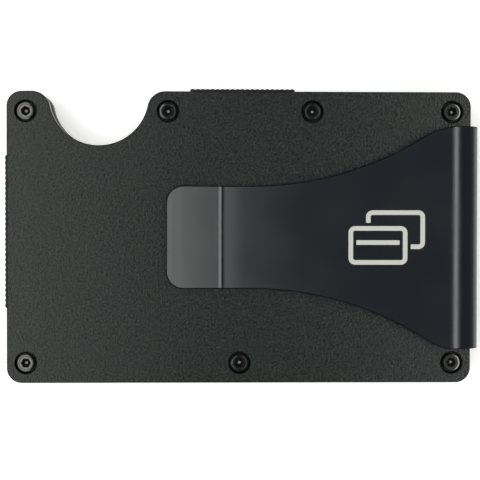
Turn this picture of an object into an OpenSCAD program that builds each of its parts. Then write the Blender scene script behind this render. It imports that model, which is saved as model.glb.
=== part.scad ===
// Slim metal card wallet: two screwed plate sandwiches held together by
// elastic webbing, with a sprung banknote clip on the front.
//
// Frame: the wallet lies on its rear plate. The origin is the centre of the
// rear plate's outer face, +X runs along the plates towards the clip's fold,
// +Y runs towards the long edge with the thumb notch, and +Z points up
// through the front plate. All lengths are in millimetres.

/* [Plates] */
// Length of the plates, along X
plate_l = 86; // [84:0.5:92]
// Width of the plates, along Y
plate_w = 54; // [52:0.5:58]
// Radius of the plates' corners
corner_r = 2.75; // [1.5:0.25:3.5]
// Thickness of each outer plate
outer_t = 2.0; // [1.9:0.1:2.6]
// Thickness of each inner plate
inner_t = 1.5; // [1.4:0.1:2.2]
// Space between the inner plates when the wallet holds no cards
card_gap = 1.0; // [0.6:0.1:2.4]

/* [Thumb notch] */
// Distance of the notch's centre from the plates' left edge
notch_from_edge = 16.95; // [15:0.05:20]
// Depth of the notch's centre below the long edge
notch_drop = 0.75; // [0.5:0.05:3]
// Radius of the notch
notch_r = 9.25; // [7:0.05:10]
// Radius that rounds the notch into the long edge
shoulder_r = 3.3; // [2:0.1:3.5]

/* [Screws] */
// Distance of the corner screws from the short edges
screw_inset_x = 3.5; // [3.2:0.1:4.5]
// Distance of the screws from the long edges
screw_inset_y = 3.7; // [3.2:0.1:4.5]
// Diameter of the screw thread
thread_d = 2.0; // [1.6:0.1:2.2]
// Diameter of the screw head
head_d = 3.3; // [3:0.1:3.6]
// Height of the screw head
head_h = 0.8; // [0.6:0.05:0.9]
// Width of the hexagon socket across its flats
socket_af = 1.5; // [1.2:0.1:1.5]
// Diameter of the hole that the head sits in
counterbore_d = 3.9; // [3.7:0.1:4.2]

/* [Elastic] */
// Thickness of the elastic webbing
elastic_t = 0.85; // [0.7:0.05:0.9]
// Width of the webbing that loops round both short ends
loop_w = 28.5; // [20:0.5:30]
// Sideways offset of the loop from the plates' centre line
loop_offset = 1.0; // [-1:0.1:1]
// Width of the webbing over the notched long edge
band_w = 19.5; // [14:0.5:20]
// Offset of the band along the long edge
band_offset = 0.6; // [-1:0.1:1]
// How far the webbing stands out past the plates' edges
elastic_proud = 0.75; // [0.5:0.05:0.85]

/* [Banknote clip] */
// Thickness of the clip's sheet metal
clip_t = 0.7; // [0.5:0.05:0.75]
// Width of the clip at its tip
tip_w = 19.0; // [16:0.5:24]
// Width of the clip at its fold
fold_w = 41; // [36:0.2:41.6]
// Distance of the clip's tip from the plates' centre
tip_reach = 13.5; // [10:0.5:16]
// Distance of the pressed crease from the plates' centre
crease_x = 3.1; // [2:0.1:5]
// Radius of the tip's corners
tip_corner_r = 3.2; // [2:0.1:5]
// Radius of the long hollow curve in the clip's sides
flare_r = 60; // [54:1:62]
// How far the fold stands out past the plates' right edge
fold_proud = 1.3; // [1.25:0.05:2]
// Outer radius of the large upper bend of the fold
upper_bend_r = 4.0; // [3:0.25:5]
// Upward slope of the lip in degrees
lip_angle = 8; // [4:1:12]

/* [Hidden] */
$fn = 96;
EPS = 0.01;
FIT = 0.05;          // gap left around pieces that lie in pockets
TAP_FIT = 0.02;      // radial gap between a thread and its tapped hole

// Levels from the table up to the front face
rear_inner_z = outer_t;
gap_z = rear_inner_z + inner_t;
front_inner_z = gap_z + card_gap;
front_outer_z = front_inner_z + inner_t;
total_t = front_outer_z + outer_t;
mid_z = total_t / 2;

// Notch
notch_x = -plate_l / 2 + notch_from_edge;
notch_y = plate_w / 2 - notch_drop;
shoulder_y = plate_w / 2 - shoulder_r;
shoulder_dx = sqrt(pow(notch_r + shoulder_r, 2) - pow(shoulder_y - notch_y, 2));

// Screws: four along the notched long edge, three along the other
screw_x = plate_l / 2 - screw_inset_x;
screw_y = plate_w / 2 - screw_inset_y;
TOP_SCREWS = [for (x = [-screw_x, -13.25, 13.5, screw_x]) [x, screw_y]];
BOTTOM_SCREWS = [for (i = [0 : 2]) [-screw_x + i * screw_x, -screw_y]];
SCREW_SITES = concat(TOP_SCREWS, BOTTOM_SCREWS);
SOCKET_TURNS = [10, 38, 26, 14, 30, 8, 22]; // how far each hexagon is turned
SCREW_SINK = 0.1;                           // how far a head lies below its plate
counterbore_depth = head_h + SCREW_SINK;
thread_tip = 0.1;                           // how far a thread stops short of the gap
thread_l = outer_t + inner_t - counterbore_depth - thread_tip;
socket_depth = 0.65;
socket_cone_h = 0.25;                       // drill point at the socket's floor
head_chamfer = 0.2;
screw_clearance = 0.2;                      // added to the thread where a hole clears it

// Elastic
channel_d = elastic_t + FIT;
loop_reach = plate_l / 2 + elastic_proud;
band_reach = plate_w / 2 + elastic_proud;
loop_edge_y = loop_offset + loop_w / 2;
WEB_OUTER_R = 0.7;                          // outer radius where webbing turns a corner

// Clip: it leaves the slot under the front plate's skin, turns up and folds back
clip_z = front_outer_z + EPS;
clip_slot_t = clip_t + FIT;
lower_bend_r = clip_t + 0.5;
fold_x = plate_l / 2 + fold_proud;
lower_bend_x = fold_x - lower_bend_r;
lower_bend_z = clip_z + lower_bend_r;
upper_bend_x = fold_x - upper_bend_r;
hinge_z = lower_bend_z + 0.05;
crease_lift = 0.1;                          // gap between the crease and the plate
crease_z = total_t + crease_lift;
upper_bend_z = hinge_z;
crease_run = norm([upper_bend_x + crease_x, upper_bend_z - crease_z]);
arm_angle = asin((upper_bend_r - clip_t) / crease_run)
            + atan2(upper_bend_z - crease_z, upper_bend_x + crease_x);
arm_l = sqrt(pow(crease_run, 2) - pow(upper_bend_r - clip_t, 2));
lip_l = (tip_reach - crease_x) / cos(lip_angle);
ear_x0 = screw_x - 4;                       // inner edge of the clip's hidden root
ear_x1 = plate_l / 2 - 1.2;
ear_y = screw_y + 2;
ear_hole_d = thread_d + 2 * screw_clearance;
flare_x0 = 2.3;                             // where the sides start to flare
flare_rise = (fold_w - tip_w) / 2;
FLARE_ENDS = [40.6, 39.1];                    // where the upper and the lower side reach full width
FLARE_STEPS = 20;
CORNER_STEPS = 8;

// ---------- shared shapes ----------

// Rectangle with round corners, centred on the origin
module rounded_rectangle(length, width, radius) {
    union() {
        square([length - 2 * radius, width], center = true);
        square([length, width - 2 * radius], center = true);
        for (sx = [-1, 1], sy = [-1, 1])
            translate([sx * (length / 2 - radius), sy * (width / 2 - radius)])
                circle(radius);
    }
}

// What the thumb notch removes: the round bite and its eased shoulders
module notch_shape() {
    tangent_y = shoulder_y + (notch_y - shoulder_y) * shoulder_r / (notch_r + shoulder_r);
    difference() {
        union() {
            translate([notch_x, notch_y]) circle(notch_r);
            translate([notch_x - shoulder_dx, tangent_y])
                square([2 * shoulder_dx, plate_w / 2 - tangent_y + 1]);
        }
        for (side = [-1, 1])
            translate([notch_x + side * shoulder_dx, shoulder_y]) circle(shoulder_r);
    }
}

// Outline shared by all four plates
module plate_shape() {
    difference() {
        rounded_rectangle(plate_l, plate_w, corner_r);
        notch_shape();
    }
}

// Outer plate with its outside face up at z = outer_t, without the clip's pocket
module outer_plate_blank() {
    difference() {
        linear_extrude(outer_t) plate_shape();
        for (site = SCREW_SITES) translate([site[0], site[1], 0]) {
            translate([0, 0, -1]) cylinder(d = thread_d + screw_clearance, h = outer_t + 2);
            translate([0, 0, outer_t - counterbore_depth])
                cylinder(d = counterbore_d, h = counterbore_depth + 1);
        }
    }
}

// T-shaped channel for the webbing, and the relief where it leaves the edges
module elastic_channels() {
    relief = loop_reach - elastic_t - FIT;
    band_relief = band_reach - elastic_t - FIT;
    translate([-plate_l / 2 - 1, loop_offset - loop_w / 2 - FIT, 0])
        cube([plate_l + 2, loop_w + 2 * FIT, channel_d + 1]);
    translate([band_offset - band_w / 2 - FIT, 0, 0])
        cube([band_w + 2 * FIT, plate_w / 2 + 1, channel_d + 1]);
    for (side = [0, 1]) mirror([side, 0, 0])
        translate([relief, loop_offset - loop_w / 2 - FIT, -inner_t - 1])
            cube([plate_l, loop_w + 2 * FIT, inner_t + 3]);
    translate([band_offset - band_w / 2 - FIT, band_relief, -inner_t - 1])
        cube([band_w + 2 * FIT, plate_w, inner_t + 3]);
}

// Inner plate with its channel side up at z = inner_t
module inner_plate_blank() {
    difference() {
        linear_extrude(inner_t) plate_shape();
        translate([0, 0, inner_t - channel_d]) elastic_channels();
        for (site = SCREW_SITES) translate([site[0], site[1], -1])
            cylinder(r = thread_d / 2 + TAP_FIT, h = inner_t + 2);
    }
}

// Low-head socket screw, its head's top at z = 0 and its thread pointing down
module screw_shape(turn) {
    difference() {
        union() {
            translate([0, 0, -head_chamfer])
                cylinder(d1 = head_d, d2 = head_d - 2 * head_chamfer, h = head_chamfer);
            translate([0, 0, -head_h]) cylinder(d = head_d, h = head_h - head_chamfer);
            translate([0, 0, -head_h - thread_l]) cylinder(d = thread_d, h = thread_l + EPS);
        }
        translate([0, 0, -socket_depth]) rotate([0, 0, turn])
            cylinder(d = socket_af / cos(30), h = socket_depth + 1, $fn = 6);
        translate([0, 0, -socket_depth - socket_cone_h])
            cylinder(r1 = 0, r2 = socket_af / 2, h = socket_cone_h + EPS);
    }
}

// Everything in the rear half mirrors the front half
module rear_half() {
    translate([0, 0, total_t]) mirror([0, 0, 1]) children();
}

// ---------- plates ----------

module front_outer_plate() {
    color("#3c3e3e")
    difference() {
        translate([0, 0, front_outer_z]) outer_plate_blank();
        translate([0, 0, front_outer_z - 1]) linear_extrude(clip_slot_t + 1)
            clip_root_shape(FIT);
    }
}

module front_inner_plate() {
    color("#232425") translate([0, 0, front_inner_z]) inner_plate_blank();
}

module rear_outer_plate() {
    color("#3c3e3e") rear_half() translate([0, 0, front_outer_z]) outer_plate_blank();
}

module rear_inner_plate() {
    color("#232425") rear_half() translate([0, 0, front_inner_z]) inner_plate_blank();
}

// ---------- elastic webbing ----------

// Section through the closed loop, drawn across its length and height
module loop_section() {
    height = 2 * (mid_z - rear_inner_z) - FIT;
    difference() {
        rounded_rectangle(2 * loop_reach, height, WEB_OUTER_R);
        square([2 * (loop_reach - elastic_t), height - 2 * elastic_t], center = true);
    }
}

module elastic_loop() {
    color("#1b1b1c")
    translate([0, loop_offset + loop_w / 2, mid_z]) rotate([90, 0, 0])
        linear_extrude(loop_w) loop_section();
}

// Section through the U-shaped band, drawn across the wallet's width and height
module band_section() {
    height = 2 * (mid_z - rear_inner_z) - FIT;
    start_y = loop_edge_y + FIT;
    difference() {
        rounded_rectangle(2 * band_reach, height, WEB_OUTER_R);
        square([2 * (band_reach - elastic_t), height - 2 * elastic_t], center = true);
        translate([-2 * plate_w + start_y, -height]) square([2 * plate_w, 2 * height]);
    }
}

module elastic_band() {
    color("#1b1b1c")
    translate([band_offset - band_w / 2, 0, mid_z]) rotate([90, 0, 90])
        linear_extrude(band_w) band_section();
}

// ---------- banknote clip ----------

// Hidden root of the clip in plan, grown by a margin for its pocket
module clip_root_shape(margin = 0) {
    translate([ear_x0 - margin, -ear_y - margin])
        square([ear_x1 - ear_x0 + 2 * margin, 2 * (ear_y + margin)]);
    translate([ear_x0, -fold_w / 2 - margin])
        square([lower_bend_x - ear_x0 + (margin > 0 ? 2 : 0), fold_w + 2 * margin]);
}

// Quarter of the folded sheet, centred on its bend axis, from angle 0 to 90
module bend_quarter(radius) {
    intersection() {
        difference() {
            circle(radius);
            circle(radius - clip_t);
        }
        square(2 * radius);
    }
}

// Root plate, lower bend and the short riser under the hinge line
module clip_root() {
    color("#25282c") {
        difference() {
            translate([0, 0, clip_z]) linear_extrude(clip_t) clip_root_shape();
            for (side = [-1, 1]) translate([screw_x, side * screw_y, clip_z - 1])
                cylinder(d = ear_hole_d, h = clip_t + 2);
        }
        translate([0, fold_w / 2, 0]) rotate([90, 0, 0]) linear_extrude(fold_w) {
            translate([lower_bend_x, lower_bend_z]) mirror([0, 1])
                bend_quarter(lower_bend_r);
            translate([fold_x - clip_t, lower_bend_z])
                square([clip_t, hinge_z - lower_bend_z]);
        }
    }
}

// Side view of the arm: upper bend, sloping arm and raised lip
module arm_section() {
    translate([upper_bend_x, upper_bend_z]) {
        bend_quarter(upper_bend_r);
        rotate(arm_angle) {
            bend_quarter(upper_bend_r);
            translate([-arm_l, upper_bend_r - clip_t]) square([arm_l + EPS, clip_t]);
        }
    }
    translate([-crease_x, crease_z]) rotate(-lip_angle)
        translate([-lip_l - clip_t, 0]) square([lip_l + clip_t + 0.05, clip_t]);
}

// One side of the clip in plan, from the tip's round corner along the flare to the fold
function side_points(flare_end) = let (
    run = flare_end - flare_x0,
    turn = 2 * atan(flare_rise / run),
    root_r = run / sin(turn) - flare_r) concat(
    [for (i = [0 : CORNER_STEPS]) let (a = 90 * i / CORNER_STEPS)
        [-tip_reach + tip_corner_r * (1 - cos(a)), tip_w / 2 - tip_corner_r * (1 - sin(a))]],
    [for (i = [0 : FLARE_STEPS]) let (a = turn * i / FLARE_STEPS)
        [flare_x0 + flare_r * sin(a), tip_w / 2 + flare_r * (1 - cos(a))]],
    [for (i = [FLARE_STEPS - 1 : -1 : 0]) let (a = turn * i / FLARE_STEPS)
        [flare_end - root_r * sin(a), fold_w / 2 - root_r * (1 - cos(a))]],
    [[fold_x + 1, fold_w / 2]]);

// The arm's outline in plan
module arm_outline() {
    upper = side_points(FLARE_ENDS[0]);
    lower = side_points(FLARE_ENDS[1]);
    polygon(concat(upper, [for (i = [len(lower) - 1 : -1 : 0]) [lower[i][0], -lower[i][1]]]));
}

module clip_arm() {
    color("#25282c")
    intersection() {
        translate([0, fold_w / 2 + 1, 0]) rotate([90, 0, 0])
            linear_extrude(fold_w + 2) arm_section();
        translate([0, 0, hinge_z]) linear_extrude(upper_bend_r + 4) arm_outline();
    }
}

// ---------- screws ----------

module front_screw(i) {
    site = SCREW_SITES[i - 1];
    color("#55585a") translate([site[0], site[1], total_t - SCREW_SINK])
        screw_shape(SOCKET_TURNS[i - 1]);
}

module rear_screw(i) {
    color("#55585a") rear_half() front_screw(i);
}

rear_outer_plate();
rear_inner_plate();
front_inner_plate();
front_outer_plate();
elastic_loop();
elastic_band();
clip_root();
clip_arm();
for (i = [1 : 7]) {
    rear_screw(i);
    front_screw(i);
}
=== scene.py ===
"""Looks for a slim metal card wallet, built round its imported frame.

The wallet lies on its rear plate at the origin, with +X towards the clip's
fold, +Y towards the notched long edge and +Z out through the front plate.
Lengths are in metres, and MM turns millimetres into them.
"""

from __future__ import annotations

import logging
import math
from contextlib import contextmanager
from dataclasses import dataclass, field
from enum import Enum
from functools import cache
from typing import Any, Callable, Iterator, Sequence

import bmesh
import bpy
from mathutils import Matrix, Vector


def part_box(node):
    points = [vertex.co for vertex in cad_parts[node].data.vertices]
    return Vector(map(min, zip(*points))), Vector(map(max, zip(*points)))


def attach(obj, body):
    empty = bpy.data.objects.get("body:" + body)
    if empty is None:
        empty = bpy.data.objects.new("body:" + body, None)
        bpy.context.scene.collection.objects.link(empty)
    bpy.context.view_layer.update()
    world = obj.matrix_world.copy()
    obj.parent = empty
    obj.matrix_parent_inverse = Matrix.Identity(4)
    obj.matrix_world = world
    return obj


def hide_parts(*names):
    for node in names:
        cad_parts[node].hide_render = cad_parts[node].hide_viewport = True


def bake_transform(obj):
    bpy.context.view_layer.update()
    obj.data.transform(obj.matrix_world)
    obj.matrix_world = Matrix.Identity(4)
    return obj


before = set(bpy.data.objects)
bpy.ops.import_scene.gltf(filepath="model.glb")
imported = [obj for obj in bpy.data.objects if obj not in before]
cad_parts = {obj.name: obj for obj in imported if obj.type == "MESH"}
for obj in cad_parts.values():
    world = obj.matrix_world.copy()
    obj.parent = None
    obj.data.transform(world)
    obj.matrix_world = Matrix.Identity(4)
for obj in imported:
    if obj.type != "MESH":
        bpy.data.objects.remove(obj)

LOG = logging.getLogger("wallet")
MM = 0.001
WELD = 1e-6  # corners closer than this are one corner
CLEAR = MM  # how far a cutter stands past what it cuts
UP = Vector((0, 0, 1))
RIGHT = Vector((1, 0, 0))
BACK = Vector((0, 1, 0))
WHITE = (1, 1, 1, 1)

Test = Callable[[Vector], bool]
Span = tuple[float, float]
Colour = tuple[float, float, float]
Socket = bpy.types.NodeSocket


class Body(Enum):
    """The rigid bodies that pieces ride on."""

    REAR = "rear_shell"
    FRONT = "front_shell"
    CLIP = "clip"


class Half(Enum):
    """The wallet's two halves, each with an outer plate, an inner plate and seven screws."""

    REAR = "rear"
    FRONT = "front"

    @property
    def body(self) -> Body:
        """Returns the body that the half is."""
        return Body[self.name]


class Slot(Enum):
    """The record's material slots."""

    PLATE = "anodised_plate"
    INNER = "inner_plate"
    WEBBING = "webbing"
    SCREW = "screw"
    CLIP = "clip"


class Cut(Enum):
    """What a boolean does with the other piece."""

    AWAY = "DIFFERENCE"
    KEEP = "INTERSECT"
    JOIN = "UNION"


class Pick(Enum):
    """What a selection in edit mode holds."""

    CORNERS = "VERT"
    EDGES = "EDGE"
    FACES = "FACE"


# ---------------------------------------------------------------- the bench


@dataclass(frozen=True)
class Run:
    """A straight stretch of a swept path.

    Attributes:
        length: how far it goes, in metres.
        steps: how many equal lengths it is made of.
    """

    length: float
    steps: int = 1


@dataclass(frozen=True)
class Bend:
    """An arc of a swept path.

    Attributes:
        radius: the arc's radius, in metres.
        turn: how far it turns, in degrees, by the right-hand rule.
        steps: how many chords it is made of.
    """

    radius: float
    turn: float
    steps: int = 12


Path = Sequence[Run | Bend]


def select_only(thing: bpy.types.Object) -> None:
    """Makes one object the only selected one, and the active one.

    Args:
        thing: the object.
    """
    bpy.ops.object.select_all(action="DESELECT")
    thing.select_set(True)
    bpy.context.view_layer.objects.active = thing


class Workpiece:
    """One mesh on the bench, shaped with Blender's own operators."""

    def __init__(self, name: str, thing: bpy.types.Object) -> None:
        """Takes an object as the piece, and settles its place into its mesh.

        Args:
            name: what the piece is called.
            thing: the mesh object, as a primitive operator leaves it.
        """
        self.thing = thing
        thing.name = thing.data.name = name
        self.settle()

    @classmethod
    def cylinder(
        cls, name: str, centre: Vector, radius: float, depth: float, sides: int = 64
    ) -> Workpiece:
        """Adds an upright cylinder.

        Args:
            name: what the piece is called.
            centre: its middle.
            radius: its radius, to its corners.
            depth: its height.
            sides: how many sides it has.

        Returns:
            The new piece.
        """
        bpy.ops.object.select_all(action="DESELECT")
        bpy.ops.mesh.primitive_cylinder_add(vertices=sides, radius=radius, depth=depth, location=centre)
        return cls(name, bpy.context.object)

    @classmethod
    def block(cls, name: str, low: Vector, high: Vector) -> Workpiece:
        """Adds a box between two corners.

        Args:
            name: what the piece is called.
            low: its lowest corner.
            high: its highest corner.

        Returns:
            The new piece.
        """
        bpy.ops.object.select_all(action="DESELECT")
        bpy.ops.mesh.primitive_cube_add(size=1, location=(low + high) / 2)
        bpy.context.object.scale = high - low
        return cls(name, bpy.context.object)

    @classmethod
    def ribbon(cls, name: str, start: Vector, heading: Vector, run: Run, across: Vector) -> Workpiece:
        """Adds a flat rectangle that a sweep goes on from.

        Args:
            name: what the piece is called.
            start: the middle of its first short edge.
            heading: the unit direction that it runs in.
            run: its length and steps.
            across: its width, as a vector.

        Returns:
            The new piece, with its far edge not yet selected.
        """
        bpy.ops.object.select_all(action="DESELECT")
        bpy.ops.mesh.primitive_grid_add(
            x_subdivisions=run.steps, y_subdivisions=1, size=1, location=start + heading * run.length / 2
        )
        side = across.normalized()
        turn = Matrix((heading, side, heading.cross(side))).transposed()
        bpy.context.object.rotation_euler = turn.to_euler()
        bpy.context.object.scale = (run.length, across.length, 1)
        return cls(name, bpy.context.object)

    @classmethod
    def prism(cls, name: str, start: Vector, heading: Vector, path: Path, height: float) -> Workpiece:
        """Sweeps an upright edge round a closed outline, and caps both ends.

        Args:
            name: what the piece is called.
            start: a point on the outline's lower edge, where a straight stretch begins.
            heading: the unit direction that the outline sets out in.
            path: the outline, seen from above, with its first step a Run.
            height: how tall the prism is.

        Returns:
            The new piece, closed and with its faces outwards.
        """
        first = path[0]
        middle = start + UP * height / 2
        piece = cls.ribbon(name, middle, heading, first, UP * height)
        far = (start + heading * first.length).dot(heading)
        with piece.editing():
            piece.pick(Pick.EDGES, lambda v: v.dot(heading) > far - WELD)
            piece.sweep(start + heading * first.length, heading, UP, path[1:])
        piece.close()
        return piece

    @contextmanager
    def editing(self, kind: Pick = Pick.FACES) -> Iterator[None]:
        """Opens the piece in edit mode with nothing selected, and closes it after.

        Args:
            kind: what selections hold while it is open.

        Yields:
            Nothing: the piece is the active object in edit mode.
        """
        select_only(self.thing)
        bpy.ops.object.mode_set(mode="EDIT")
        bpy.ops.mesh.select_mode(type=kind.value)
        bpy.ops.mesh.select_all(action="DESELECT")
        yield
        bpy.ops.object.mode_set(mode="OBJECT")

    def pick(self, kind: Pick, test: Test) -> None:
        """Selects what has all its corners pass a test. The piece is in edit mode.

        Args:
            kind: corners, edges or faces.
            test: takes a corner's place and says whether it passes.
        """
        mesh = bmesh.from_edit_mesh(self.thing.data)
        bpy.ops.mesh.select_mode(type=kind.value)
        bpy.ops.mesh.select_all(action="DESELECT")
        if kind is Pick.CORNERS:
            for corner in mesh.verts:
                corner.select_set(test(corner.co))
        else:
            for part in mesh.edges if kind is Pick.EDGES else mesh.faces:
                if all(test(corner.co) for corner in part.verts):
                    part.select_set(True)
        mesh.select_flush_mode()
        bmesh.update_edit_mesh(self.thing.data)

    def extrude(self, offset: Vector) -> None:
        """Extrudes the selection by a vector. The piece is in edit mode."""
        bpy.ops.mesh.extrude_region_move(TRANSFORM_OT_translate={"value": offset})

    def inset(self, thickness: float) -> None:
        """Insets the selected faces. The piece is in edit mode."""
        bpy.ops.mesh.inset(thickness=thickness, use_even_offset=True)

    def shift(self, offset: Vector) -> None:
        """Moves the selection by a vector. The piece is in edit mode."""
        bpy.ops.transform.translate(value=offset)

    def terrace(self, *steps: Span) -> None:
        """Insets the selected faces and lifts them, once for each step's width and rise."""
        for width, rise in steps:
            self.inset(width)
            self.shift(UP * rise)

    def sweep(self, place: Vector, heading: Vector, axis: Vector, path: Path) -> tuple[Vector, Vector]:
        """Drags the selection along a path in one plane. The piece is in edit mode.

        Args:
            place: where the path starts.
            heading: the unit direction that it sets out in.
            axis: the plane's unit normal, about which bends turn.
            path: the runs and bends, in order.

        Returns:
            Where the path ends, and its last heading.
        """
        for step in path:
            if isinstance(step, Run):
                for _ in range(step.steps):
                    self.extrude(heading * step.length / step.steps)
                place = place + heading * step.length
                continue
            side = axis.cross(heading) * math.copysign(1, step.turn)
            centre = place + side * step.radius
            bpy.ops.mesh.spin(steps=step.steps, angle=-math.radians(step.turn), center=centre, axis=axis)
            turn = Matrix.Rotation(math.radians(step.turn), 3, axis)
            place = centre + turn @ (place - centre)
            heading = turn @ heading
        return place, heading

    def close(self) -> None:
        """Welds the corners that meet, caps every open end and turns the faces outwards."""
        with self.editing(Pick.CORNERS):
            bpy.ops.mesh.select_all(action="SELECT")
            bpy.ops.mesh.remove_doubles(threshold=WELD)
            bpy.ops.mesh.select_all(action="DESELECT")
            bpy.ops.mesh.select_non_manifold()
            bpy.ops.mesh.fill_holes(sides=0)
            bpy.ops.mesh.select_all(action="SELECT")
            bpy.ops.mesh.normals_make_consistent(inside=False)

    def modify(self, kind: str, **settings: Any) -> None:
        """Adds a modifier and applies it.

        Args:
            kind: Blender's name for the modifier's type.
            settings: the modifier's properties.
        """
        select_only(self.thing)
        modifier = self.thing.modifiers.new(kind.lower(), kind)
        for key, value in settings.items():
            setattr(modifier, key, value)
        bpy.ops.object.modifier_apply(modifier=modifier.name)

    def cut(self, how: Cut, *others: Workpiece) -> None:
        """Cuts or joins with other pieces, which are used up.

        Args:
            how: what is done with each.
            others: the pieces.
        """
        for other in others:
            self.modify("BOOLEAN", object=other.thing, operation=how.value, solver="EXACT")
            bpy.data.meshes.remove(other.thing.data)

    def join(self, *others: Workpiece) -> None:
        """Takes other pieces' meshes into this one, as they are."""
        select_only(self.thing)
        for other in others:
            other.thing.select_set(True)
        bpy.ops.object.join()

    def copy(self, name: str, place: Matrix | None = None) -> Workpiece:
        """Makes a copy with a mesh of its own.

        Args:
            name: what the copy is called.
            place: where it goes, as a matrix on this piece's own place.

        Returns:
            The copy.
        """
        thing = self.thing.copy()
        thing.data = self.thing.data.copy()
        bpy.context.scene.collection.objects.link(thing)
        thing.matrix_world = place or Matrix.Identity(4)
        return Workpiece(name, thing)

    def settle(self) -> None:
        """Applies the object's place, turn and scale to its mesh."""
        select_only(self.thing)
        bpy.ops.object.transform_apply(location=True, rotation=True, scale=True)

    def soften(
        self, width: float, segments: int = 3, sharpest: float = 40, slot: int = -1, crowded: bool = False
    ) -> None:
        """Rounds the piece's sharp edges and shades it, with its flat faces kept flat.

        Args:
            width: the rounding's width.
            segments: how many strips it has.
            sharpest: edges that turn by more than this, in degrees, are rounded.
            slot: the material slot that the rounding takes, or -1 for its neighbours'.
            crowded: True where some edges lie closer together than the width, and
                would run into each other unless all the roundings were narrowed.
        """
        select_only(self.thing)
        bpy.ops.object.shade_smooth_by_angle(angle=math.radians(sharpest))
        self.modify(
            "BEVEL",
            width=width,
            segments=segments,
            limit_method="ANGLE",
            angle_limit=math.radians(sharpest),
            harden_normals=True,
            material=slot,
            use_clamp_overlap=crowded,
        )

    def dress(self, *finishes: Finish) -> None:
        """Gives the piece its materials, one slot each, in order."""
        for finish in finishes:
            self.thing.data.materials.append(finish.material())

    def repaint(self, slot: int, test: Test) -> None:
        """Gives some faces another of the piece's materials.

        Args:
            slot: the material's place among the piece's finishes, from 0.
            test: takes a corner's place; a face whose corners all pass is repainted.
        """
        with self.editing():
            self.pick(Pick.FACES, test)
            self.thing.active_material_index = slot
            bpy.ops.object.material_slot_assign()

    def enrol(self, slot: Slot, body: Body | None = None, stands_for: Sequence[str] = ()) -> None:
        """Hides the CAD nodes that the piece stands for, hangs it on its body and logs them.

        Args:
            slot: the record's material slot; not used.
            body: the body that it rides on, or None to leave it on none.
            stands_for: the CAD nodes that it replaces.
        """
        if stands_for:
            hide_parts(*stands_for)
        if body is not None:
            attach(self.thing, body.value)
        faces = len(self.thing.data.polygons)
        LOG.info("%s: %d faces, for %s", self.thing.name, faces, list(stands_for))


# ---------------------------------------------------------------- finishes


class Sheet:
    """Places and links the nodes of one shader tree."""

    def __init__(self, tree: bpy.types.NodeTree) -> None:
        """Takes the tree to work on."""
        self.tree = tree

    def feed(self, node: bpy.types.Node, inputs: dict[str | int, Any]) -> None:
        """Fills a node's sockets.

        Args:
            node: the node.
            inputs: values for its sockets, or the sockets that feed them.
        """
        for key, value in inputs.items():
            if isinstance(value, bpy.types.NodeSocket):
                self.tree.links.new(value, node.inputs[key])
            else:
                node.inputs[key].default_value = value

    def node(self, kind: str, inputs: dict[str | int, Any] | None = None, **settings: Any) -> bpy.types.Node:
        """Adds a node.

        Args:
            kind: Blender's type name for the node, without its ShaderNode prefix.
            inputs: values for its sockets, or the sockets that feed them.
            settings: the node's own properties.

        Returns:
            The node.
        """
        made = self.tree.nodes.new("ShaderNode" + kind)
        for key, value in settings.items():
            setattr(made, key, value)
        self.feed(made, inputs or {})
        return made

    def sum_of(self, operation: str, *values: Any) -> Socket:
        """Adds a Math node on numbers or sockets, and returns its result's socket."""
        return self.node("Math", dict(enumerate(values)), operation=operation).outputs[0]

    def spread(self, value: Socket, given: Span = (0.0, 1.0), wanted: Span = (0.0, 1.0)) -> Socket:
        """Carries a value from one span to another, and holds it at the ends.

        Args:
            value: the value's socket.
            given: the span that it comes in.
            wanted: the span that it leaves in.

        Returns:
            The result's socket.
        """
        ends = {"From Min": given[0], "From Max": given[1], "To Min": wanted[0], "To Max": wanted[1]}
        return self.node("MapRange", {"Value": value, **ends}).outputs["Result"]

    def group(self, effect: bpy.types.NodeTree, inputs: dict[str, Any]) -> bpy.types.NodeOutputs:
        """Adds a shared effect with its own values, and returns its outputs."""
        return self.node("Group", inputs, node_tree=effect).outputs


class Effect(Sheet):
    """A node group that finishes share, laid out on Object coordinates."""

    def __init__(self, name: str, inputs: dict[str, float]) -> None:
        """Starts the group.

        Args:
            name: what the group is called.
            inputs: each input's name and its usual value.
        """
        super().__init__(bpy.data.node_groups.new(name, "ShaderNodeTree"))
        for key, value in inputs.items():
            socket = self.tree.interface.new_socket(key, in_out="INPUT", socket_type="NodeSocketFloat")
            socket.default_value = value
        self.given = self.tree.nodes.new("NodeGroupInput").outputs
        self.place = self.node("TexCoord").outputs["Object"]

    def noise(self, size: str, detail: float, **inputs: float) -> Socket:
        """Adds a noise.

        Args:
            size: the input that holds the size of its features, in metres.
            detail: how many finer layers it has.
            inputs: more values for its sockets.

        Returns:
            The noise's socket, from 0 to 1.
        """
        scale = self.sum_of("DIVIDE", 1.0, self.given[size])
        return self.node(
            "TexNoise", {"Vector": self.place, "Scale": scale, "Detail": detail, **inputs}
        ).outputs["Fac"]

    def finished(self, outputs: dict[str, Socket]) -> bpy.types.NodeTree:
        """Hands out the group's results.

        Args:
            outputs: each output's name and the socket that feeds it.

        Returns:
            The group.
        """
        for key in outputs:
            self.tree.interface.new_socket(key, in_out="OUTPUT", socket_type="NodeSocketFloat")
        self.feed(self.tree.nodes.new("NodeGroupOutput"), outputs)
        return self.tree


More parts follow.
